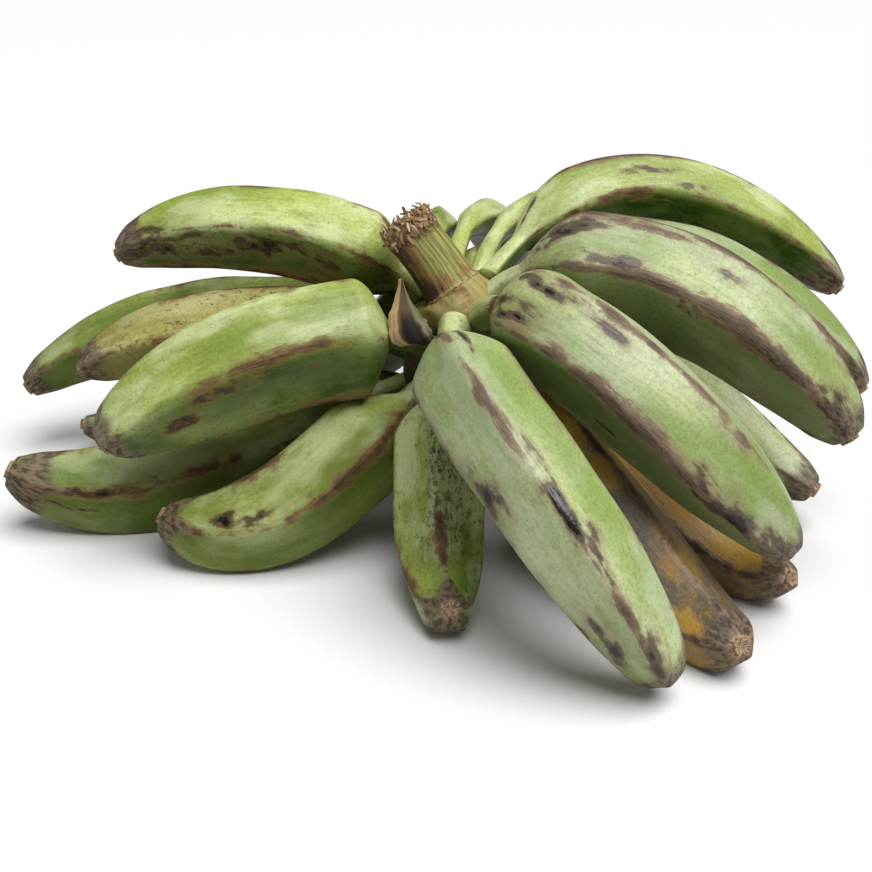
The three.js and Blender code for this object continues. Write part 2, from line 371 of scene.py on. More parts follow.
def lattice(points, seed):
    """Smooth random values between 0 and 1 over space, one unit apart."""
    base = np.floor(points).astype(np.int64)
    inner = points - base
    inner = inner * inner * (3 - 2 * inner)
    total = 0
    for corner in range(8):
        step = np.array([corner & 1, corner >> 1 & 1, corner >> 2 & 1])
        cell = base + step
        value = cell[..., 0] * SCRAMBLE_X
        value = value ^ (cell[..., 1] * SCRAMBLE_Y)
        value = value ^ (cell[..., 2] * SCRAMBLE_Z)
        value = value ^ (seed * SCRAMBLE_SEED)
        value = ((value ^ (value >> 13)) * SCRAMBLE_MIX) & 0xFFFFFFFF
        value = (value ^ (value >> 16)) & 0xFFFF
        total = total + np.prod(np.where(step, inner, 1 - inner), axis=-1) * value / 65535
    return total


def cloud(points, size, seed, layers=4, rough=0.55):
    """Patches of about a size in mm, as values that fill most of 0 to 1."""
    total = 0
    weight = 0
    for layer in range(layers):
        total = total + rough ** layer * lattice(points / size * 2 ** layer, seed + layer * 7)
        weight += rough ** layer
    return np.clip((total / weight - 0.5) * 2 + 0.5, 0, 1)


def bezier(route, t):
    p = np.array(route, float)
    t = t[:, None]
    return (1 - t) ** 3 * p[0] + 3 * (1 - t) ** 2 * t * p[1] + 3 * (1 - t) * t * t * p[2] + t ** 3 * p[3]


def lengths_along(curve):
    return np.concatenate([[0], np.cumsum(np.linalg.norm(np.diff(curve, axis=0), axis=1))])


def place_on(curve, arc, s):
    """The point of a curve at a length along it."""
    return np.stack([np.interp(s, arc, curve[:, k]) for k in range(3)], -1)


def mesh_piece(name, rows, attributes, material):
    """One closed skin over rings of points, riding on the root."""
    n, m = rows.shape[:2]
    index = np.arange(n * m).reshape(n, m)
    beside = np.roll(index, -1, axis=1)
    quads = np.stack([index[:-1], beside[:-1], beside[1:], index[1:]], -1).reshape(-1, 4)
    faces = [tuple(int(i) for i in q) for q in quads]
    faces.append(tuple(int(i) for i in index[0][::-1]))
    faces.append(tuple(int(i) for i in index[-1]))
    mesh = bpy.data.meshes.new(name)
    mesh.from_pydata((rows.reshape(-1, 3) * MM).tolist(), [], faces)
    for key, values in attributes.items():
        if values.ndim == 3:
            layer = mesh.attributes.new(key, "FLOAT_VECTOR", "POINT")
            layer.data.foreach_set("vector", values.reshape(-1, 3).ravel())
        else:
            layer = mesh.attributes.new(key, "FLOAT", "POINT")
            layer.data.foreach_set("value", values.ravel())
    mesh.polygons.foreach_set("use_smooth", [True] * len(faces))
    mesh.materials.append(material)
    piece = bpy.data.objects.new(name, mesh)
    bpy.context.collection.objects.link(piece)
    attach(piece, "root")
    return piece


def finger_piece(number, name, material):
    route, radius, roll, skin, shape = FINGERS[name]
    marks = {**USUAL, **MARKS.get(name, {})}
    stem = shape.get("stem", STEM_RADIUS)
    stem_length = shape.get("stem_length", STEM_LENGTH)

    # centre line, with the directions along, across and out at each ring
    curve = bezier(route, np.linspace(0, 1, ROUTE_POINTS))
    arc = lengths_along(curve)
    length = arc[-1]
    body = length - stem_length
    share = np.linspace(0, 1, ALONG_BODY)
    share = share - CROWDING * np.sin(TURN * share) / TURN
    on_stem = np.linspace(0, stem_length, ALONG_STEM, endpoint=False)
    on_body = stem_length + body * share * BODY_USED
    s = np.concatenate([on_stem, on_body])
    centre = place_on(curve, arc, s)
    along = place_on(curve, arc, np.minimum(s + 1, length)) - place_on(curve, arc, np.maximum(s - 1, 0))
    along /= np.linalg.norm(along, axis=1)[:, None]
    across = np.cross(np.subtract(route[3], route[0]), [0, 0, 1.0])
    across /= np.linalg.norm(across)
    side = across - along * (along @ across)[:, None]
    side /= np.linalg.norm(side, axis=1)[:, None]
    out = np.cross(side, along)

    # radius and section along the finger
    u = (s - stem_length) / body
    start = stem / radius
    rise = start + (1 - start) * smooth(u / shape.get("shoulder", SHOULDER)) ** SHOULDER_CURVE
    x = np.maximum(0, (u - TAPER_FROM) / (1 - TAPER_FROM))
    fall = 1 - (1 - shape.get("tip", TIP_SHARE)) * x ** (TAPER_CURVE - BEAK_CURVE * shape.get("beak", 0))
    rounding = 1 - END_ROUNDING * (np.clip(u - END_FROM, 0, 1) / (1 - END_FROM)) ** 2
    flare = 1 + STEM_FLARE * (1 - np.clip(s / stem_length, 0, 1)) ** 2
    flare = flare + SOCKET_SWELLING * np.exp(-((s / SOCKET_DEPTH) ** 2))
    r = np.where(u <= 0, stem * flare, radius * rise * fall * rounding)
    full = np.where(u <= 0, 0, smooth(u / FULL_SECTION_AT))
    angular = STEM_ANGULAR + (BODY_ANGULAR - STEM_ANGULAR) * full
    wide = 1 + (shape.get("wide", 1) - 1) * full

    # rings of points: S along, T round, U as a share of the body, R the radius with slow waves
    theta = np.arange(AROUND) / AROUND * TURN
    S, T = np.meshgrid(s, theta, indexing="ij")
    U = (S - stem_length) / body
    sway = SWAY * lumps(S, T * 0, 40 + number, SWAY_LENGTH) * smooth(U / 0.2)
    turned = T + sway
    depth = soft_facets(turned / TURN * RIDGES)
    R = r[:, None] * (1 - angular[:, None] * depth)
    R = R + WAVE_HEIGHT * lumps(S, T, 80 + number, WAVE_LENGTH) * smooth(U / 0.1)
    angle = T + math.radians(roll)
    rows = centre[:, None] + out[:, None] * (R * np.cos(angle))[..., None]
    rows = rows + side[:, None] * (wide[:, None] * R * np.sin(angle))[..., None]

    # dried flower end: a short collar with a sunken cut
    end_centre = centre[-1]
    end_along = along[-1]
    last = rows[-1]
    ragged = 1 + COLLAR_RAGGED * lumps(T[0] * 0, T[0] * 2, 7 + number, 1)
    extra = []
    for k, (share_k, ahead) in enumerate(COLLAR):
        rough = ragged[:, None] if k > 1 else 1
        extra.append(end_centre + (last - end_centre) * share_k * rough + end_along * ahead)
    rows = np.concatenate([rows, np.array(extra)])
    pad = len(COLLAR)

    def face_values(values):
        """A value for each face, changing quickly at the ridge between two faces."""
        turn = turned / FACE_TURN
        face = np.floor(turn).astype(int)
        across = turn - face
        neighbour = np.where(across < 0.5, face - 1, face + 1)
        own = 0.5 + 0.5 * smooth(np.minimum(across, 1 - across) / 0.16)
        values = np.array(values)
        return own * values[face % RIDGES] + (1 - own) * values[neighbour % RIDGES]

    # straightened finger, at a place of its own in the noise
    flat = np.stack([S, R * np.cos(T), R * np.sin(T)], -1) + np.array([number * 61.0, number * 37.0, 0])
    grain = flat * np.array([0.4, 1, 1])
    seed = number * 101

    # wear along the ridges
    gap = np.degrees(abs((turned + FACE_TURN / 2) % FACE_TURN - FACE_TURN / 2))
    breadth = WEAR_BREADTH + WEAR_SPREAD * cloud(grain, 12, seed + 9)
    broad = np.exp(-((gap / breadth) ** 2))
    narrow = np.exp(-((gap / LINE_BREADTH) ** 2))
    ridge = np.take(marks["wear"], np.round(turned / FACE_TURN).astype(int) % RIDGES)
    body_part = smooth((U + 0.02) / 0.06)
    patches = cloud(grain, 17, seed + 1)
    wear = ridge * (0.6 * narrow + broad * np.maximum(1.9 * patches - 0.5, -0.1)) * body_part
    crumbs = cloud(flat * np.array([0.6, 1, 1]), 4, seed + 2, 3) - 0.5
    wear = wear + 0.7 * crumbs * np.maximum(broad, 0.3)

    # painted shade: darker green on the faces that lie in shade; flecks and scars
    deep = face_values(marks["deep"]) * (0.65 + 0.35 * patches)
    fleck = face_values(marks["fleck"]) * (0.35 + 0.9 * cloud(grain, 14, seed + 3)) + 0.4 * broad * ridge
    scar = np.zeros_like(T)
    for share_at, degrees, long, wide_mm, strength in marks["scars"]:
        turn = (turned - math.radians(degrees - roll) + math.pi) % TURN - math.pi
        ahead = (U - share_at) * body / (long / 2)
        beside = turn * R / (wide_mm / 2)
        scar = np.maximum(scar, strength * np.exp(-abs(ahead) ** 2.5 - beside ** 2))
    scar = scar * (0.15 + 1.35 * cloud(flat * np.array([0.5, 1, 1]), 3.4, seed + 4, 3))

    # ground, bloom, stains and the brown tip
    ground = cloud(grain, 30, seed + 5, 3)
    bloom = cloud(grain, 14, seed + 6, 5, 0.62)
    size = 13 if skin == "ripe" else 24
    stain = cloud(grain, size, seed + 7, 5, 0.6) * (0.6 + 0.4 * marks["stains"])
    stain = stain + 0.16 * (face_values(marks["fleck"]) - 0.45) * (skin != "ripe")
    brown_tip = marks["tip"] * smooth((U - 0.86) / 0.14)
    brown_tip = brown_tip + 0.5 * broad * smooth((U - 0.75) / 0.2) * marks["tip"]
    brown_tip = brown_tip + 0.5 * (cloud(grain, 8, seed + 8) - 0.5) * smooth((U - 0.7) / 0.1)
    dried = np.clip(np.arange(1, pad + 1) / 3, 0, 1)[:, None] * np.ones(AROUND)

    def grown(values, ends=None):
        """The same values carried on over the dried flower end."""
        tail = np.repeat(values[-1:], pad, axis=0) if ends is None else ends
        return np.concatenate([values, tail])

    rows = rows - FOOTPRINT
    rows[..., 2] = np.maximum(rows[..., 2], 0.0)
    none = np.zeros_like(T)
    attributes = {
        "flat": grown(flat, flat[-1:] + np.arange(1, pad + 1)[:, None, None] * np.array([0.8, 0, 0])),
        # tones holds the random ground tone, the bloom, and the painted shade on the shaded faces
        "tones": np.stack([grown(ground), grown(bloom), grown(deep)], -1),
        "wounds": np.stack([grown(wear), grown(fleck), grown(scar)], -1),
        "ends": np.stack([grown(U), grown(brown_tip), grown(none, dried)], -1),
        "stain": grown(stain),
    }
    piece = mesh_piece(name + "_skin", rows, attributes, material)
    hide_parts(name)


def srgb(r, g, b):
    def one(c):
        c = c / 255
        return c / 12.92 if c <= 0.04045 else ((c + 0.055) / 1.055) ** 2.4
    return (one(r), one(g), one(b), 1.0)


class Look:
    """A node material, built a node at a time."""

    def __init__(self, name):
        self.material = bpy.data.materials.new(name)
        self.material.use_nodes = True
        self.nodes = self.material.node_tree.nodes
        self.links = self.material.node_tree.links
        self.shader = self.nodes["Principled BSDF"]

    def put(self, socket, value):
        if isinstance(value, bpy.types.NodeSocket):
            self.links.new(value, socket)
        else:
            socket.default_value = value

    def attribute(self, name, output="Fac"):
        node = self.nodes.new("ShaderNodeAttribute")
        node.attribute_name = name
        return node.outputs[output]

    def parts(self, name):
        node = self.nodes.new("ShaderNodeSeparateXYZ")
        self.put(node.inputs[0], self.attribute(name, "Vector"))
        return node.outputs[0], node.outputs[1], node.outputs[2]

    def scaled(self, vector, scale):
        node = self.nodes.new("ShaderNodeMapping")
        self.put(node.inputs["Vector"], vector)
        node.inputs["Scale"].default_value = scale
        return node.outputs["Vector"]

    def noise(self, vector, scale, detail=3.0, roughness=0.5, distortion=0.0):
        node = self.nodes.new("ShaderNodeTexNoise")
        self.put(node.inputs["Vector"], vector)
        node.inputs["Scale"].default_value = scale
        node.inputs["Detail"].default_value = detail
        node.inputs["Roughness"].default_value = roughness
        node.inputs["Distortion"].default_value = distortion
        return node.outputs["Fac"]

    def math(self, operation, a, b=0.0, clamp=False):
        node = self.nodes.new("ShaderNodeMath")
        node.operation = operation
        node.use_clamp = clamp
        self.put(node.inputs[0], a)
        self.put(node.inputs[1], b)
        return node.outputs[0]

    def plus(self, a, b):
        return self.math("ADD", a, b)

    def minus(self, a, b):
        return self.math("SUBTRACT", a, b)

    def times(self, a, b):
        return self.math("MULTIPLY", a, b)

    def swing(self, value, amount):
        """A noise value's distance from its middle."""
        return self.times(self.minus(value, 0.5), amount)

    def step(self, value, low, high, to_low=0.0, to_high=1.0):
        node = self.nodes.new("ShaderNodeMapRange")
        node.interpolation_type = "SMOOTHSTEP"
        self.put(node.inputs["Value"], value)
        self.put(node.inputs["From Min"], low)
        self.put(node.inputs["From Max"], high)
        node.inputs["To Min"].default_value = to_low
        node.inputs["To Max"].default_value = to_high
        return node.outputs["Result"]

    def mix(self, factor, a, b):
        node = self.nodes.new("ShaderNodeMix")
        node.data_type = "RGBA"
        self.put(node.inputs[0], factor)
        self.put(node.inputs[6], a)
        self.put(node.inputs[7], b)
        return node.outputs[2]

    def bump(self, height, strength, distance):
        node = self.nodes.new("ShaderNodeBump")
        node.inputs["Strength"].default_value = strength
        node.inputs["Distance"].default_value = distance
        self.put(node.inputs["Height"], height)
        return node.outputs["Normal"]


def skin_look(name, c):
    """Green or ripe skin, with painted shade on the shaded faces, bloom that is partly painted
    highlight, streaks, flecks, worn ridges, scars and a dry end.
    """
    k = Look(name)
    flat = k.attribute("flat", "Vector")
    tone, bloom, deep = k.parts("tones")
    wear, fleck, scar = k.parts("wounds")
    share, brown_tip, dried = k.parts("ends")
    stain = k.attribute("stain")
    streak = k.noise(k.scaled(flat, (0.045, 1.0, 1.0)), 0.5, 4, 0.6)
    fibre = k.noise(k.scaled(flat, (0.06, 1.0, 1.0)), 1.7, 3, 0.7)
    fine = k.noise(flat, 0.7, 4, 0.65)
    speck = k.noise(k.scaled(flat, (0.55, 1.0, 1.0)), 0.55, 4, 0.7)

    # ground colour, yellower on the stem, painted shade as darker green on the shaded faces, with faint
    # lengthwise streaks
    ground = k.mix(k.step(tone, 0.25, 0.75), c["light"], c["mid"])
    ground = k.mix(k.times(k.step(streak, 0.45, 0.7), 0.4), ground, c["mid"])
    ground = k.mix(k.times(k.step(share, 0.16, -0.02), 0.7), ground, c["stem"])
    ground = k.mix(deep, ground, c["deep"])
    # real pale bloom, kept off the shaded faces so that it lies on the lit top faces, where it is also
    # painted highlight
    powder_and_highlight = k.times(k.step(bloom, 0.3, 0.75), k.step(fine, 0.3, 0.6, 0.55, 1.0))
    powder_and_highlight = k.times(powder_and_highlight, k.step(deep, 0.2, 0.8, 1.0, 0.15))
    ground = k.mix(k.times(powder_and_highlight, c["bloom_and_highlight_amount"]), ground, c["bloom"])
    grey = k.plus(stain, k.swing(fine, 0.5))
    grey = k.step(grey, c["stain_from"], c["stain_from"] + c["stain_blur"])
    ground = k.mix(k.times(grey, c["stain_amount"]), ground, c["stain"])

    # faint mottling in the same dark green, and small dots
    ground = k.mix(k.step(fine, 0.42, 0.64, 0.0, 0.26), ground, c["deep"])
    dots = k.step(k.noise(flat, 1.5, 1, 0.5), 0.69, 0.74, 0.0, 0.6)
    ground = k.mix(dots, ground, c["fleck"])

    # dark flecks, torn along the finger
    edge = k.minus(0.73, k.times(fleck, 0.18))
    flecks = k.step(speck, edge, k.plus(edge, 0.05))
    ground = k.mix(k.times(flecks, k.step(fine, 0.35, 0.6, 0.95, 0.45)), ground, c["fleck"])

    # worn ridges, fibrous and darker in the middle
    torn = k.plus(wear, k.swing(fibre, 0.55))
    torn = k.plus(torn, k.swing(streak, 0.35))
    torn = k.plus(torn, k.swing(speck, 0.7))
    halo = k.times(k.step(torn, -0.02, 0.36), 0.55)
    ground = k.mix(halo, ground, c["halo"])
    worn = k.step(torn, 0.24, 0.46)
    worn_dark = k.times(k.step(torn, 0.42, 0.8), k.step(fibre, 0.35, 0.6, 1.0, 0.6))
    worn_colour = k.mix(k.step(fibre, 0.42, 0.62), c["worn"], c["worn_light"])
    worn_colour = k.mix(worn_dark, worn_colour, c["worn_dark"])
    ground = k.mix(k.times(worn, 0.88), ground, worn_colour)

    # scars: brown rim and black middle
    cut = k.plus(scar, k.swing(fibre, 0.5))
    cut = k.plus(cut, k.swing(speck, 0.5))
    ground = k.mix(k.times(k.step(cut, 0.0, 0.34), 0.5), ground, c["halo"])
    rim = k.step(cut, 0.26, 0.52)
    core = k.step(cut, 0.64, 0.84)
    rim_colour = k.mix(k.step(fibre, 0.45, 0.6), c["worn_dark"], c["worn"])
    ground = k.mix(k.times(rim, 0.85), ground, rim_colour)
    ground = k.mix(core, ground, c["scar"])

    # brown tip and dried flower end
    tip = k.plus(brown_tip, k.swing(fibre, 0.35))
    tip_mask = k.step(tip, 0.22, 0.6)
    tip_colour = k.mix(k.step(streak, 0.38, 0.62), c["tip"], c["tip_light"])
    ground = k.mix(k.times(tip_mask, 0.88), ground, tip_colour)
    dry_colour = k.mix(k.step(fine, 0.42, 0.6), srgb(168, 142, 112), srgb(86, 68, 54))
    ground = k.mix(k.step(dried, 0.3, 0.9), ground, dry_colour)
    k.put(k.shader.inputs["Base Color"], ground)

    # roughness, shine and fine relief
    rough = k.plus(c["roughness"], k.times(k.math("MAXIMUM", worn, tip_mask), 0.22))
    rough = k.plus(rough, k.swing(fine, 0.3))
    rough = k.math("SUBTRACT", rough, k.times(core, 0.3), True)
    k.put(k.shader.inputs["Roughness"], rough)
    shine = k.step(deep, 0.15, 0.8, c["specular"], 0.12)
    k.put(k.shader.inputs["Specular IOR Level"], shine)
    height = k.plus(k.times(streak, 0.6), k.times(fine, 0.3))
    height = k.plus(height, k.times(k.times(worn, fibre), 0.9))
    height = k.minus(height, k.times(flecks, 0.2))
    height = k.minus(height, k.times(rim, 0.5))
    k.put(k.shader.inputs["Normal"], k.bump(height, 0.5, 0.0006))
    return k.material


BROWNS = {
    "halo": srgb(134, 118, 90),
    "worn": srgb(90, 66, 56),
    "worn_dark": srgb(44, 32, 28),
    "worn_light": srgb(132, 106, 88),
    "fleck": srgb(54, 38, 22),
    "scar": srgb(22, 17, 15),
    "tip": srgb(52, 40, 34),
    "tip_light": srgb(116, 98, 80),
    "specular": 0.45,
}
WARM_BROWNS = {
    **BROWNS,
    "halo": srgb(118, 108, 56),
    "worn": srgb(88, 62, 42),
    "worn_dark": srgb(38, 26, 16),
    "worn_light": srgb(128, 98, 66),
}
LOOKS = {
    "bloom": skin_look("bloom_green_skin", {
        **BROWNS,
        "light": srgb(178, 190, 130),
        "mid": srgb(134, 156, 80),
        "deep": srgb(48, 74, 22),
        "stem": srgb(200, 208, 128),
        "bloom": srgb(194, 202, 174),
        "bloom_and_highlight_amount": 0.5,
        "stain": srgb(146, 124, 100),
        "stain_from": 0.68,
        "stain_amount": 0.55,
        "stain_blur": 0.16,
        "roughness": 0.46,
    }),
    "bright": skin_look("bright_green_skin", {
        **WARM_BROWNS,
        "light": srgb(176, 192, 98),
        "mid": srgb(130, 152, 54),
        "deep": srgb(34, 62, 0),
        "stem": srgb(196, 206, 118),
        "bloom": srgb(226, 232, 186),
        "bloom_and_highlight_amount": 0.5,
        "stain": srgb(120, 98, 62),
        "stain_from": 0.74,
        "stain_amount": 0.5,
        "stain_blur": 0.16,
        "roughness": 0.4,
    }),
    "pale": skin_look("pale_green_skin", {
        **WARM_BROWNS,
        "light": srgb(190, 184, 108),
        "mid": srgb(152, 146, 62),
        "deep": srgb(84, 76, 22),
        "stem": srgb(232, 230, 180),
        "bloom": srgb(226, 224, 190),
        "bloom_and_highlight_amount": 0.3,
        "stain": srgb(124, 98, 62),
        "stain_from": 0.66,
        "stain_amount": 0.6,
        "stain_blur": 0.16,
        "roughness": 0.42,
    }),
    "ripe": skin_look("ripe_skin", {
        **BROWNS,
        "light": srgb(196, 156, 60),
        "mid": srgb(158, 116, 40),
        "deep": srgb(92, 76, 50),
        "stem": srgb(150, 120, 60),
        "bloom": srgb(140, 128, 100),
        "bloom_and_highlight_amount": 0.12,
        "stain": srgb(82, 72, 58),
        "stain_from": 0.3,
        "stain_amount": 0.95,
        "stain_blur": 0.4,
        "roughness": 0.4,
    }),
}

for number, name in enumerate(FINGERS):
    finger_piece(number, name, LOOKS[FINGERS[name][3]])

# Stalk with its crown, in rings from the lower end to the cut, as in the solids
STALK_AXIS = np.array([-0.567, 0.206, 0.799])
STALK_RINGS = [
    ([7, 44, 54], 1, 15, 15),
    ([7, 42, 68], 1, 24, 24),
    ([10, 37, 84], 1, 24, 25),
    ([12, 36, 98], 1, 24, 27),
    ([11.5, 35.5, 105], 0.9, 22, 27),
    ([9.6, 31.4, 110], 0.6, 18, 22),
    ([7.4, 28.2, 113.6], 0.2, 14.6, 15.4),
    ([6.6, 27.6, 114.8], 0, 13.9, 13.9),
    ([5.6, 27.6, 116.6], 0, 12.7, 12.7),
    ([-0.4, 29.4, 126], 0, 11.9, 11.9),
    ([-10.6, 31.8, 138.8], 0, 11.8, 11.8),
    ([-14.6, 32.8, 144.2], 0, 11.8, 11.8),
]
STALK_AROUND = 150
STALK_ALONG = 120
STALK_BLEND = 6
STALK_RIBS = 14

# Heights below are counted in rings; the run is the length in mm up to each ring
STALK_RUN = [0, 12, 29, 43, 50, 56, 61, 62, 64, 75, 88, 93]
STALK_UNROLLED = 16
CROWN_TOP = 6.95
SCAR_AT = 7.0
FRAYED_FROM = 9.75
CUT_AT = 11.2
CUT_SHARES = (0.95, 0.88, 0.78, 0.66, 0.52, 0.38, 0.24, 0.1, 0.02)


def stalk_rows():
    table = np.array([[*c, level, rx, ry] for c, level, rx, ry in STALK_RINGS])
    place = np.linspace(0, len(table) - 1, STALK_ALONG)
    values = np.stack([np.interp(place, np.arange(len(table)), column) for column in table.T], -1)
    kernel = np.exp(-0.5 * (np.arange(-STALK_BLEND, STALK_BLEND + 1) / (STALK_BLEND / 2)) ** 2)
    kernel /= kernel.sum()
    inside = slice(STALK_BLEND, -STALK_BLEND)
    for k in range(table.shape[1]):
        values[inside, k] = np.convolve(values[:, k], kernel, "same")[inside]
    theta = np.arange(STALK_AROUND) / STALK_AROUND * TURN
    rows = []
    level_out = []
    draw = np.random.default_rng(5)
    counts = draw.integers(7, 40, STALK_RIBS)
    heights = draw.uniform(0.01, 0.05, STALK_RIBS)
    starts = draw.uniform(0, 6.28, STALK_RIBS)
    ribs = sum(a * np.sin(n * theta + p) for n, a, p in zip(counts, heights, starts))
    for place_k, (x, y, z, level, rx, ry) in zip(place, values):
        axis = STALK_AXIS * (1 - level) + np.array([0, 0, 1.0]) * level
        axis /= np.linalg.norm(axis)
        right = np.cross([0, 1.0, 0], axis)
        right /= np.linalg.norm(right)
        back = np.cross(axis, right)
        grain = ribs * (1.0 if place_k > SCAR_AT else 0.5)
        frayed = min(1, max(0, (place_k - FRAYED_FROM) / 0.3))
        spots = np.stack([theta * 0 + place_k * 3.2, 5 * np.cos(theta), 5 * np.sin(theta)], -1)
        grain = grain + frayed * (2.6 * lattice(spots, 61) + 1.4 * lattice(spots * 2.3, 62) - 1.9)
        knobs = 0.8 * lumps(theta * 0 + place_k * 8, theta * 3, 3, 30) if place_k < SCAR_AT - 0.5 else 0
        wavy = 1 + 0.7 * np.sin(theta * 9 + 1) * np.sin(theta * 4)
        rim = 0.5 * math.exp(-((place_k - SCAR_AT) / 0.12) ** 2) * wavy
        grown = 1 + (grain + knobs + rim) / rx
        ring = np.array([x, y, z]) + (rx * grown * np.cos(theta))[:, None] * right
        rows.append(ring + (ry * grown * np.sin(theta))[:, None] * back)
        level_out.append(place_k)
    # torn cut: an uneven rim and a sunken, fibrous face
    rim_ring = rows[-1]
    centre = values[-1, :3]
    axis = STALK_AXIS / np.linalg.norm(STALK_AXIS)
    torn = 1.4 * lumps(theta * 0, theta * 3, 11, 1) + 0.8 * lumps(theta * 0, theta * 9, 12, 1)
    rows[-1] = rim_ring + torn[:, None] * axis
    for k, share in enumerate(CUT_SHARES):
        dip = -1.2 * (1 - share) + 1.3 * share * lumps(theta * 0 + k * 5, theta * (5 + k % 3), 20 + k, 9)
        rows.append(centre + (rim_ring - centre) * share + dip[:, None] * axis)
        level_out.append(CUT_AT + k * 0.1)
    return np.array(rows) - FOOTPRINT, np.array(level_out), theta


def stalk_look():
    k = Look("stalk_green")
    flat = k.attribute("flat", "Vector")
    place = k.attribute("place")
    streak = k.noise(k.scaled(flat, (0.05, 1.0, 1.0)), 0.42, 5, 0.65)
    fibre = k.noise(k.scaled(flat, (0.05, 1.0, 1.0)), 1.8, 4, 0.7)
    patch = k.noise(flat, 0.14, 5, 0.6, 0.8)
    spot = k.noise(k.scaled(flat, (0.5, 1.0, 1.0)), 0.6, 3, 0.6)
    ground = k.mix(k.step(streak, 0.36, 0.62), srgb(164, 160, 84), srgb(92, 94, 34))
    ground = k.mix(k.step(fibre, 0.5, 0.7, 0.0, 0.4), ground, srgb(196, 188, 132))
    # brown and orange at the foot and below the cut, real browning in streaks and patches, and painted
    # shade darkening the left side
    foot = k.times(k.step(place, 9.0, 8.0), k.step(place, 7.2, 7.9))
    high = k.step(place, 9.0, 10.0)
    brown_and_shade = k.plus(k.times(foot, 0.42), k.attribute("left"))
    brown_and_shade = k.plus(brown_and_shade, k.times(high, 0.22))
    brown_and_shade = k.plus(brown_and_shade, k.minus(k.plus(k.times(streak, 0.8), patch), 1.0))
    ground = k.mix(k.times(k.step(brown_and_shade, 0.12, 0.45), 0.85), ground, srgb(134, 92, 50))
    ground = k.mix(k.times(k.step(brown_and_shade, 0.42, 0.8), 0.95), ground, srgb(48, 36, 26))
    ground = k.mix(k.step(spot, 0.66, 0.7, 0.0, 0.7), ground, srgb(70, 50, 32))
    # crown below the ring: olive and tan pads
    crown = k.step(place, 6.98, 6.8)
    pads = k.mix(k.step(patch, 0.4, 0.62), srgb(164, 148, 88), srgb(132, 102, 56))
    pads = k.mix(k.step(streak, 0.48, 0.62), pads, srgb(134, 132, 74))
    ground = k.mix(crown, ground, pads)
    # painted shade: darker olive-brown low on the crown, down among the finger stems
    ground = k.mix(k.step(place, 4.6, 3.0), ground, srgb(74, 64, 36))
    # ring scar
    ring = k.minus(k.step(place, 6.78, 6.92), k.step(place, 7.04, 7.14))
    ring_colour = k.mix(k.step(k.noise(flat, 0.7, 2), 0.45, 0.6), srgb(122, 68, 54), srgb(206, 160, 140))
    ground = k.mix(k.times(ring, 0.85), ground, ring_colour)
    # frayed, dry end
    crumb = k.noise(k.scaled(flat, (0.6, 1.0, 1.0)), 0.8, 5, 0.75)
    frayed = k.step(k.plus(place, k.swing(crumb, 1.0)), FRAYED_FROM, 10.0)
    dry = k.mix(k.step(crumb, 0.4, 0.6), srgb(170, 136, 94), srgb(66, 46, 32))
    ground = k.mix(frayed, ground, dry)
    k.put(k.shader.inputs["Base Color"], ground)
    k.put(k.shader.inputs["Roughness"], k.step(patch, 0.2, 0.8, 0.5, 0.8))
    height = k.plus(k.times(streak, 0.7), k.times(fibre, 0.7))
    height = k.plus(height, k.times(k.times(frayed, crumb), 2.5))
    k.put(k.shader.inputs["Normal"], k.bump(height, 0.7, 0.0008))
    return k.material


rows, levels, theta = stalk_rows()
place = levels[:, None] * np.ones(len(theta))
run = np.interp(levels, np.arange(len(STALK_RINGS)), STALK_RUN)
flat = np.stack([
    run[:, None] + theta * 0,
    STALK_UNROLLED * np.cos(theta) + levels[:, None] * 0,
    STALK_UNROLLED * np.sin(theta) + levels[:, None] * 0,
], -1)
flat[-len(CUT_SHARES):, :, 1:] *= np.array(CUT_SHARES)[:, None, None]
# painted shade: a darker band down the stalk's left side, above the crown
left = 0.85 * np.clip(np.cos(theta - 3.55), 0, 1) ** 1.5
left = left * np.ones((len(levels), 1)) * (levels > CROWN_TOP)[:, None]
attributes = {"place": place, "flat": flat, "left": left}
stalk = mesh_piece("stalk_and_crown", rows, attributes, stalk_look())
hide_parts("stalk")

# Curled dry fibres round the cut end, sizes in mm
FIBRES = 420
FIBRE_STEPS = 8
FIBRE_LENGTH = (2.4, 6.0)
FIBRE_HALF_WIDTH = (0.4, 1.2)
FIBRE_THICKNESS = 0.2
FIBRE_NARROWING = 0.6
FIBRE_CURL = 0.42
FRAYED_LENGTH = 7.5
END_CENTRE = np.array(STALK_RINGS[-1][0]) - FOOTPRINT
END_RADIUS = STALK_RINGS[-1][2]


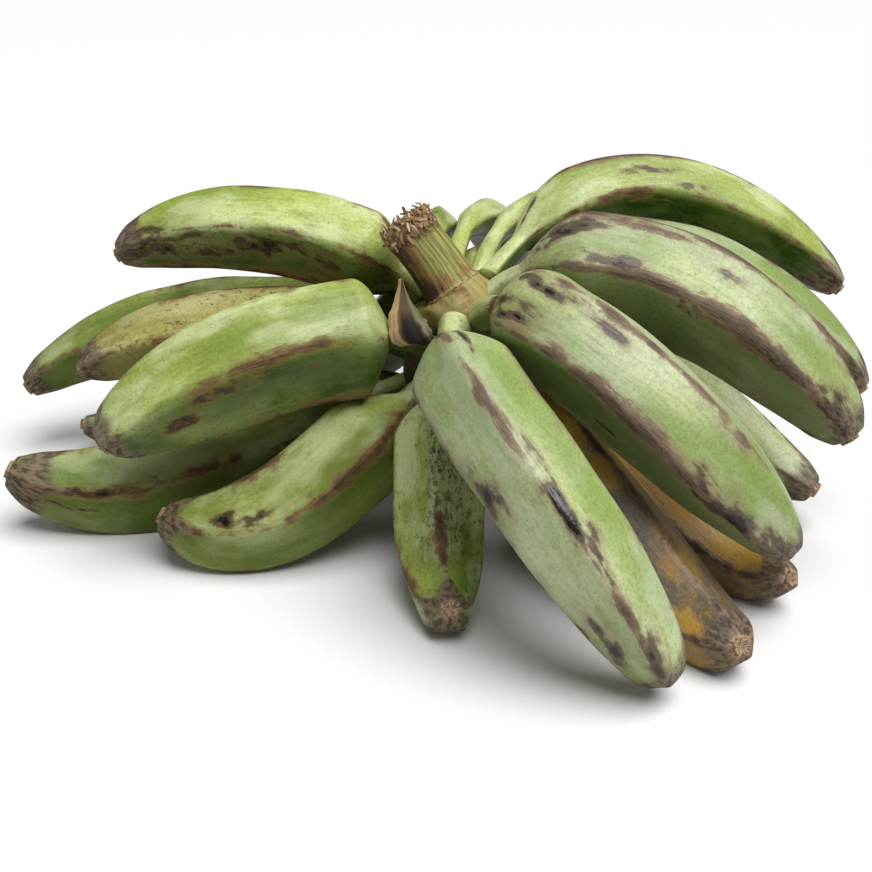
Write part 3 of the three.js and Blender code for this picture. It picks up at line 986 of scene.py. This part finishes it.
def fibre_strands():
    """Points, faces and one tone for each point. Four strands of five stand round the side."""
    draw = np.random.default_rng(23)
    axis = STALK_AXIS / np.linalg.norm(STALK_AXIS)
    right = np.cross([0, 1.0, 0], axis)
    right /= np.linalg.norm(right)
    back = np.cross(axis, right)
    verts = []
    faces = []
    tones = []
    for number in range(FIBRES):
        turn = draw.uniform(0, TURN)
        outward = math.cos(turn) * right + math.sin(turn) * back
        round_way = np.cross(axis, outward)
        on_side = number % 5 != 0
        reach = END_RADIUS * (draw.uniform(0.9, 1.02) if on_side else math.sqrt(draw.uniform(0, 0.85)))
        depth = draw.uniform(0, FRAYED_LENGTH) if on_side else draw.uniform(0.5, 1.5)
        at = END_CENTRE + reach * outward - axis * depth
        heading = axis * draw.uniform(0.1, 0.8)
        heading = heading + outward * draw.uniform(0.0, 0.5)
        heading = heading + round_way * draw.normal(0, 0.9)
        heading /= np.linalg.norm(heading)
        bend = draw.normal(0, 1, 3)
        bend = bend - outward * (max(0, bend @ outward) + 0.3) - axis * 0.6
        length = draw.uniform(*FIBRE_LENGTH)
        broad = draw.uniform(*FIBRE_HALF_WIDTH)
        tone = draw.uniform(0, 1)
        first = len(verts)
        for step in range(FIBRE_STEPS):
            f = step / (FIBRE_STEPS - 1)
            across = np.cross(heading, outward + 0.3 * bend)
            across /= np.linalg.norm(across)
            thick = np.cross(heading, across) * FIBRE_THICKNESS
            half = across * (broad * (1 - FIBRE_NARROWING * f))
            verts += [at - half - thick, at + half - thick, at + half + thick, at - half + thick]
            tones += [tone] * 4
            heading = heading + bend * FIBRE_CURL
            heading /= np.linalg.norm(heading)
            at = at + heading * length / (FIBRE_STEPS - 1)
        for step in range(FIBRE_STEPS - 1):
            a = first + step * 4
            for e in range(4):
                b = (e + 1) % 4
                faces.append((a + e, a + b, a + 4 + b, a + 4 + e))
        last = first + 4 * (FIBRE_STEPS - 1)
        faces.append((first + 3, first + 2, first + 1, first))
        faces.append((last, last + 1, last + 2, last + 3))
    return np.array(verts), faces, tones


verts, faces, tones = fibre_strands()
mesh = bpy.data.meshes.new("cut_fibres")
mesh.from_pydata((verts * MM).tolist(), [], faces)
layer = mesh.attributes.new("tone", "FLOAT", "POINT")
layer.data.foreach_set("value", tones)
k = Look("torn_fibre")
tone = k.attribute("tone")
fibre_colour = k.mix(k.step(tone, 0.0, 0.5), srgb(88, 64, 44), srgb(152, 120, 84))
fibre_colour = k.mix(k.step(tone, 0.5, 1.0), fibre_colour, srgb(210, 184, 144))
k.put(k.shader.inputs["Base Color"], fibre_colour)
k.shader.inputs["Roughness"].default_value = 0.8
mesh.materials.append(k.material)
fibres = bpy.data.objects.new("cut_fibres", mesh)
bpy.context.collection.objects.link(fibres)
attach(fibres, "root")

# Withered bract beside the stalk's foot, a thin curled blade with two faces, sizes in mm
BRACT_SPINE = [[-1, 14, 97], [-10, -3, 95], [-14, -1, 108], [-15, 9, 125]]
BRACT_HALF_WIDTH = 8.6
BRACT_HALF_THICKNESS = 0.95
BRACT_WIDEST_AT = 0.45
BRACT_CUP = 0.32
BRACT_SIDE = np.array([0.94, 0.34, 0])
BRACT_ALONG = 44
BRACT_ACROSS = 26


def bract_rows():
    """Rings of points, with the length along the spine and the place across at each point."""
    curve = bezier(BRACT_SPINE, np.linspace(0, 1, 241))
    arc = lengths_along(curve)
    rows = []
    run = []
    wing = []
    for i in range(BRACT_ALONG):
        u = i / (BRACT_ALONG - 1)
        at = place_on(curve, arc, u * arc[-1])
        before = place_on(curve, arc, max(u - 0.01, 0) * arc[-1])
        after = place_on(curve, arc, min(u + 0.01, 1) * arc[-1])
        along = (after - before) / np.linalg.norm(after - before)
        side = BRACT_SIDE - along * (along @ BRACT_SIDE)
        side /= np.linalg.norm(side)
        out = np.cross(side, along)
        widening = 0.35 + 0.65 * smooth(u / BRACT_WIDEST_AT)
        narrowing = 1 - 0.9 * smooth((u - BRACT_WIDEST_AT) / (1 - BRACT_WIDEST_AT))
        torn = 1 + 0.05 * math.sin(u * 31) + 0.03 * math.sin(u * 77)
        half = BRACT_HALF_WIDTH * widening * narrowing * torn
        ring = []
        across = []
        for face in (1, -1):
            for j in range(BRACT_ACROSS):
                v = face * (2 * j / (BRACT_ACROSS - 1) - 1)
                thin = BRACT_HALF_THICKNESS * (1 - 0.55 * v * v) * face
                curl = -BRACT_CUP * half * v * v
                curl = curl + 0.5 * math.sin(v * 5 + u * 4) + 0.35 * math.sin(v * 11 + 2)
                ring.append(at + side * v * half + out * (thin + curl))
                across.append(v)
        rows.append(ring)
        run.append([u * arc[-1]] * len(ring))
        wing.append(across)
    return np.array(rows) - FOOTPRINT, np.array(run), np.array(wing)


def bract_look():
    k = Look("dry_bract")
    flat = k.attribute("flat", "Vector")
    veins = k.noise(k.scaled(flat, (0.05, 1.0, 1.0)), 1.2, 4, 0.6)
    wing_at = k.attribute("wing")
    ground = k.mix(k.step(wing_at, -0.62, -0.45), srgb(190, 162, 118), srgb(92, 74, 54))
    ground = k.mix(k.step(wing_at, 0.2, 0.75), ground, srgb(120, 116, 84))
    ground = k.mix(k.step(veins, 0.5, 0.66, 0.0, 0.65), ground, srgb(70, 50, 38))
    # painted shade: near-black in the hollow of the blade near its foot, mixed with dark veins
    hollow_shade = k.times(k.step(wing_at, -0.7, -0.15), k.step(wing_at, 0.85, 0.2))
    low = k.step(k.attribute("run"), 34.0, 16.0)
    dark = k.plus(k.times(hollow_shade, low), k.minus(veins, 0.5))
    ground = k.mix(k.step(dark, 0.1, 0.7), ground, srgb(28, 19, 16))
    k.put(k.shader.inputs["Base Color"], ground)
    k.shader.inputs["Roughness"].default_value = 0.75
    k.put(k.shader.inputs["Normal"], k.bump(veins, 0.6, 0.0006))
    return k.material


rows, run, wing = bract_rows()
flat_at = np.stack([run, wing * 8, np.zeros_like(run)], -1)
attributes = {"run": run, "wing": wing, "flat": flat_at}
bract = mesh_piece("bract_blade", rows, attributes, bract_look())
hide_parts("withered_bract")

# Pale floor, in metres
FLOOR_REACH = 4.0
FLOOR_GREY = 0.74
floor_mesh = bpy.data.meshes.new("floor")
corners = [(x * FLOOR_REACH, y * FLOOR_REACH, 0) for x, y in ((-1, -1), (1, -1), (1, 1), (-1, 1))]
floor_mesh.from_pydata(corners, [], [(0, 1, 2, 3)])
floor = bpy.data.objects.new("floor", floor_mesh)
bpy.context.collection.objects.link(floor)
floor_look = Look("pale_floor")
floor_look.shader.inputs["Base Color"].default_value = (FLOOR_GREY, FLOOR_GREY, FLOOR_GREY, 1)
floor_look.shader.inputs["Roughness"].default_value = 0.6
floor_look.shader.inputs["Specular IOR Level"].default_value = 0.2
floor_mesh.materials.append(floor_look.material)

# Soft studio light: one very wide lamp overhead, a little to the right and front, in pale surroundings
SURROUNDINGS = 0.26
LAMP_STRENGTH = 4.0
LAMP_WIDTH = math.radians(50)
LAMP_FROM = Vector((0.3, -0.25, 1.0))
world = bpy.data.worlds.new("surroundings")
bpy.context.scene.world = world
world.use_nodes = True
world.node_tree.nodes["Background"].inputs["Color"].default_value = (1, 1, 1, 1)
world.node_tree.nodes["Background"].inputs["Strength"].default_value = SURROUNDINGS
overhead = bpy.data.lights.new("overhead", "SUN")
overhead.energy = LAMP_STRENGTH
overhead.angle = LAMP_WIDTH
lamp = bpy.data.objects.new("overhead", overhead)
lamp.rotation_euler = (-LAMP_FROM).to_track_quat("-Z", "Y").to_euler()
bpy.context.collection.objects.link(lamp)
bpy.context.scene.view_settings.view_transform = "Standard"
